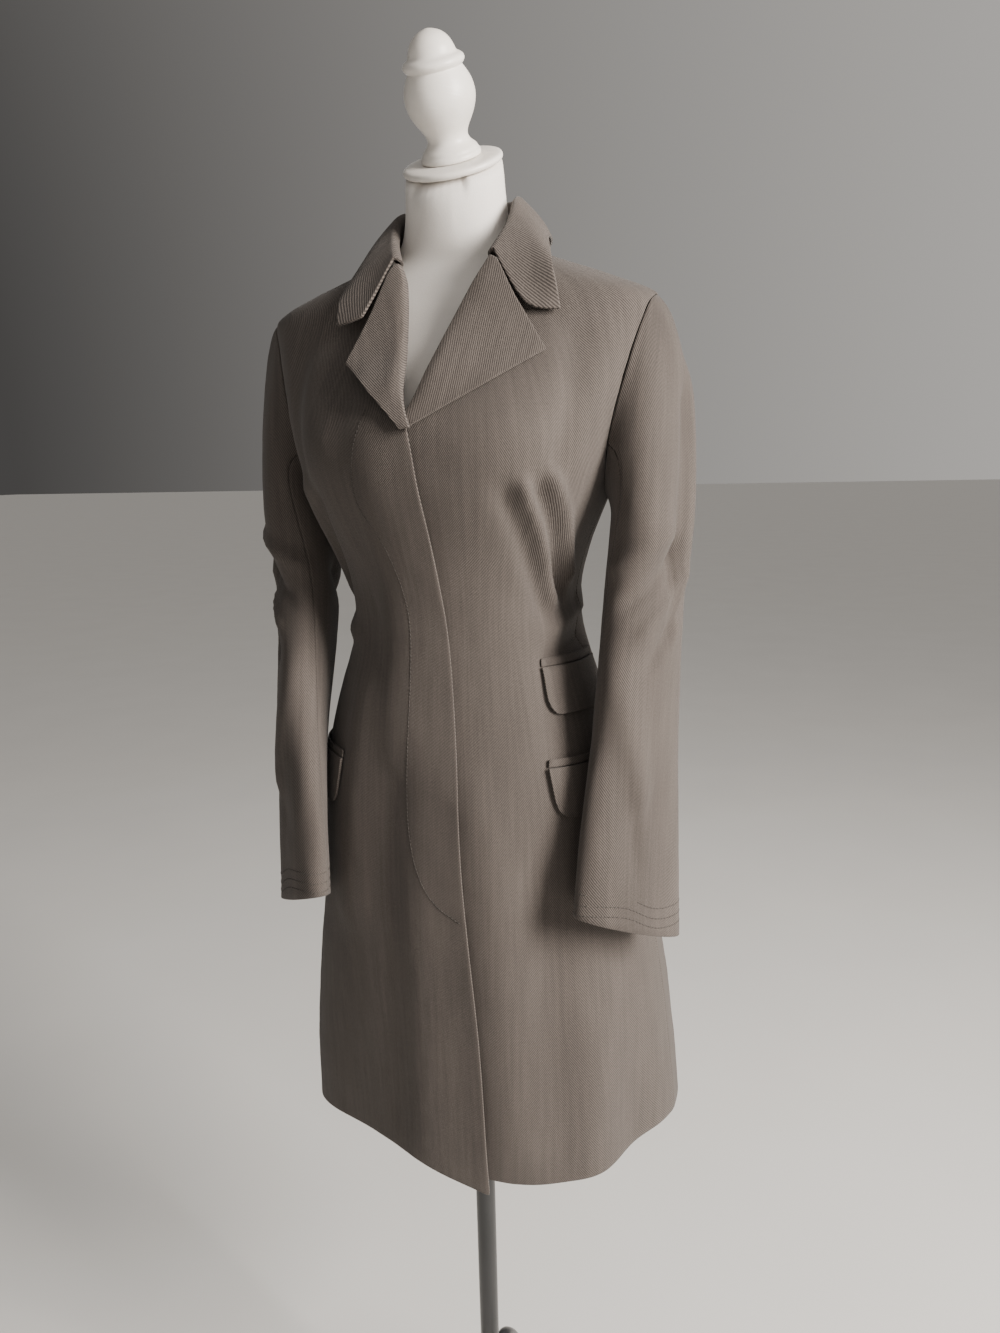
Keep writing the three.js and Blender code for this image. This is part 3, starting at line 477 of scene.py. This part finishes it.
# The dress form and its stand
hardPieces = {
    "form_torso": {"levels": 2, "crease": 70, "material": "jersey"},
    "neck_cap": {"levels": 3, "crease": 70, "material": "painted_wood"},
    "finial": {"levels": 2, "crease": 62, "material": "painted_wood"},
    "pole": {"levels": 2, "crease": 50, "material": "black_steel"},
    "hub": {"levels": 2, "crease": 50, "material": "black_steel"},
    "leg_1": {"levels": 2, "crease": 70, "material": "black_steel"},
    "leg_2": {"levels": 2, "crease": 70, "material": "black_steel"},
    "leg_3": {"levels": 2, "crease": 70, "material": "black_steel"},
}
for node, look in hardPieces.items():
    mesh = smoothMesh(node, look["crease"], look["levels"], crease["stand"])
    addPiece("stand_" + node, mesh, look["material"], look["material"], [node])
print("form and stand made")

# Stitches: short threads laid along lines on the cloth
stitch = {"length": 0.0030, "gap": 0.0009, "radius": 0.00042, "sides": 6}
trees = {}


def treeOf(node):
    if node not in trees:
        work = bmesh.new()
        work.from_mesh(pieces[node].data)
        trees[node] = BVHTree.FromBMesh(work)
        work.free()
    return trees[node]


def castAt(node, start, way):
    hit, normal, _, _ = treeOf(node).ray_cast(start, way)
    return (hit, normal) if hit else None


def frontSpot(node, x, z):
    return castAt(node, Vector((x, pole.y - 0.6, z)), Vector((0, 1, 0)))


def aroundSpot(node, centre, angle, z, side=1):
    way = Vector((sin(radians(angle)) * side, -cos(radians(angle)), 0))
    return castAt(node, Vector((centre[0], centre[1], z)) + way * 0.5, -way)


def stitchLine(name, spots):
    spots = [spot for spot in spots if spot]
    work = bmesh.new()
    lengths = [0.0]
    for (a, _), (b, _) in zip(spots, spots[1:]):
        lengths.append(lengths[-1] + (b - a).length)
    at = 0.0
    k = 0
    while at + stitch["length"] < lengths[-1]:
        ends = []
        for reach in (at, at + stitch["length"]):
            while k < len(lengths) - 2 and lengths[k + 1] < reach:
                k += 1
            t = (reach - lengths[k]) / max(lengths[k + 1] - lengths[k], 1e-9)
            ends.append((spots[k][0].lerp(spots[k + 1][0], t), spots[k][1]))
        (a, normal), (b, _) = ends
        way = b - a
        if 0.5 * stitch["length"] < way.length < 2 * stitch["length"]:
            across = way.cross(normal).normalized()
            turned = Matrix((across, normal, way.normalized())).transposed().to_4x4()
            turned.translation = (a + b) / 2 + normal * stitch["radius"] * 0.3
            squash = Matrix.Diagonal((1, 0.7, way.length / stitch["length"], 1))
            bmesh.ops.create_cone(
                work,
                cap_ends=True,
                segments=stitch["sides"],
                radius1=stitch["radius"],
                radius2=stitch["radius"],
                depth=stitch["length"],
                matrix=turned @ squash,
            )
        at += stitch["length"] + stitch["gap"]
    mesh = bpy.data.meshes.new(name)
    work.to_mesh(mesh)
    work.free()
    if len(mesh.polygons):
        addPiece(name, mesh, "thread", "wool_twill", [])


# The stitches that hold the fly: down the front, then curving to the edge, as x from the pole and height
flyLine = [
    (-0.035, 1.335), (-0.046, 1.300), (-0.050, 1.257), (-0.030, 1.216), (-0.018, 1.164),
    (-0.017, 1.105), (-0.019, 1.040), (-0.021, 0.980), (-0.017, 0.935), (-0.006, 0.900),
    (0.010, 0.878), (0.034, 0.864),
]


def smoothLine(points, steps):
    found = []
    for k in range(len(points) - 1):
        p0 = points[max(k - 1, 0)]
        p1, p2 = points[k], points[k + 1]
        p3 = points[min(k + 2, len(points) - 1)]
        for step in range(steps):
            t = step / steps
            spot = []
            for a, b, c, d in zip(p0, p1, p2, p3):
                square = 2 * a - 5 * b + 4 * c - d
                cube = 3 * b - a - 3 * c + d
                spot.append(0.5 * (2 * b + (c - a) * t + square * t**2 + cube * t**3))
            found.append(tuple(spot))
    return found + [points[-1]]


stitchLine("stitch_fly", [frontSpot("front_right", pole.x + x, z) for x, z in smoothLine(flyLine, 12)])


def cuffEdge(side, way, centre):
    low = {}
    for part in ("top", "under"):
        for vertex in pieces[f"sleeve_{part}_{side}"].data.vertices:
            across = Vector(((vertex.co.x - centre[0]) * way, centre[1] - vertex.co.y))
            turn = round(atan2(across.x, across.y) * 12 / pi) % 24
            low[turn] = min(low.get(turn, 9), vertex.co.z)
    mean = sum(low.values()) / len(low)
    sine = sum(z * sin(turn * pi / 12) for turn, z in low.items()) * 2 / len(low)
    cosine = sum(z * cos(turn * pi / 12) for turn, z in low.items()) * 2 / len(low)
    return lambda angle: mean + sine * sin(radians(angle)) + cosine * cos(radians(angle))


for side, way in (("left", 1), ("right", -1)):
    centre = axisAt(sleeveAxes[side], 0.88)
    edge = cuffEdge(side, way, centre)
    for row, rise in enumerate((0.012, 0.021, 0.031)):
        for part in ("top", "under"):
            spots = []
            for angle in range(0, 361, 3):
                z = edge(angle) + rise
                spot = aroundSpot(f"sleeve_{part}_{side}", centre, angle, z, way)
                other = "under" if part == "top" else "top"
                hidden = aroundSpot(f"sleeve_{other}_{side}", centre, angle, z, way)
                if spot and hidden:
                    far = [hypot(at[0].x - centre[0], at[0].y - centre[1]) for at in (spot, hidden)]
                    spot = spot if far[0] > far[1] else None
                spots.append(spot)
            runs = []
            for spot in spots:
                if spot is None or not runs or not runs[-1] or (spot[0] - runs[-1][-1][0]).length > 0.012:
                    runs.append([])
                if spot is not None:
                    runs[-1].append(spot)
            for k, run in enumerate([run for run in runs if len(run) > 2]):
                stitchLine(f"stitch_cuff_{side}_{part}_{row + 1}_{k + 1}", run)
print("stitches made")


# Stage, light and camera
def addStage():
    size = 60.0
    work = bmesh.new()
    bmesh.ops.create_grid(work, x_segments=2, y_segments=2, size=size)
    mesh = bpy.data.meshes.new("floor")
    work.to_mesh(mesh)
    work.free()
    floor = bpy.data.objects.new("floor", mesh)
    bpy.context.scene.collection.objects.link(floor)
    material, tree, surface = newMaterial("floor")
    at = tree.nodes.new("ShaderNodeTexCoord").outputs["Object"]
    soft = noiseNode(tree, at, 3, 2)
    pale = rampNode(tree, soft, [(0.2, (0.70, 0.685, 0.66)), (0.8, (0.73, 0.715, 0.69))])
    link(tree, pale, surface.inputs["Base Color"])
    surface.inputs["Roughness"].default_value = 0.8
    mesh.materials.append(material)


def addLight(name, place, target, size, power, colour):
    data = bpy.data.lights.new(name, "AREA")
    data.shape = "RECTANGLE"
    data.size, data.size_y = size
    data.energy = power
    data.color = colour
    light = bpy.data.objects.new(name, data)
    light.location = place
    light.rotation_euler = (target - Vector(place)).to_track_quat("-Z", "Y").to_euler()
    bpy.context.scene.collection.objects.link(light)


addStage()
chest = Vector((pole.x, pole.y, 1.15))
addLight("window", (2.4, -0.75, 2.0), chest, (0.9, 1.4), 235, (1.0, 0.95, 0.89))
addLight("room", (-1.6, -2.6, 2.2), chest, (2.4, 2.0), 5, (0.90, 0.95, 1.0))
addLight("behind", (-0.6, 2.2, 2.2), chest, (2.0, 1.6), 6, (0.95, 0.97, 1.0))
world = bpy.data.worlds.new("studio")
world.use_nodes = True
sky = world.node_tree
direction = sky.nodes.new("ShaderNodeTexCoord").outputs["Generated"]
apart = sky.nodes.new("ShaderNodeSeparateXYZ")
link(sky, direction, apart.inputs[0])
toRight = mathNode(sky, "ADD", mathNode(sky, "MULTIPLY", apart.outputs[0], 0.5), 0.5)
glow = rampNode(sky, toRight, [(0.15, (0.10, 0.096, 0.093)), (0.75, (1.0, 0.96, 0.91))])
link(sky, glow, sky.nodes["Background"].inputs["Color"])
sky.nodes["Background"].inputs["Strength"].default_value = 0.66
bpy.context.scene.world = world

view = {"x": 0.3642, "y": -0.9389, "z": 1.284, "heading": 19.5, "pitch": 11.3, "roll": -1.3, "focal": 1001}
heading, pitch, roll = (radians(view[name]) for name in ("heading", "pitch", "roll"))
forward = Vector((-sin(heading) * cos(pitch), cos(heading) * cos(pitch), -sin(pitch)))
level = Vector((cos(heading), sin(heading), 0))
upright = level.cross(forward)
across = level * cos(roll) + upright * sin(roll)
upward = upright * cos(roll) - level * sin(roll)
cameraData = bpy.data.cameras.new("camera")
cameraData.sensor_fit = "VERTICAL"
cameraData.sensor_height = 36
cameraData.lens = view["focal"] * 36 / 1333
camera = bpy.data.objects.new("camera", cameraData)
place = Matrix((across, upward, -forward)).transposed().to_4x4()
place.translation = Vector((pole.x + view["x"], pole.y + view["y"], view["z"]))
camera.matrix_world = place
bpy.context.scene.collection.objects.link(camera)
bpy.context.scene.camera = camera
print("stage, light and camera made")

print("scene ready")
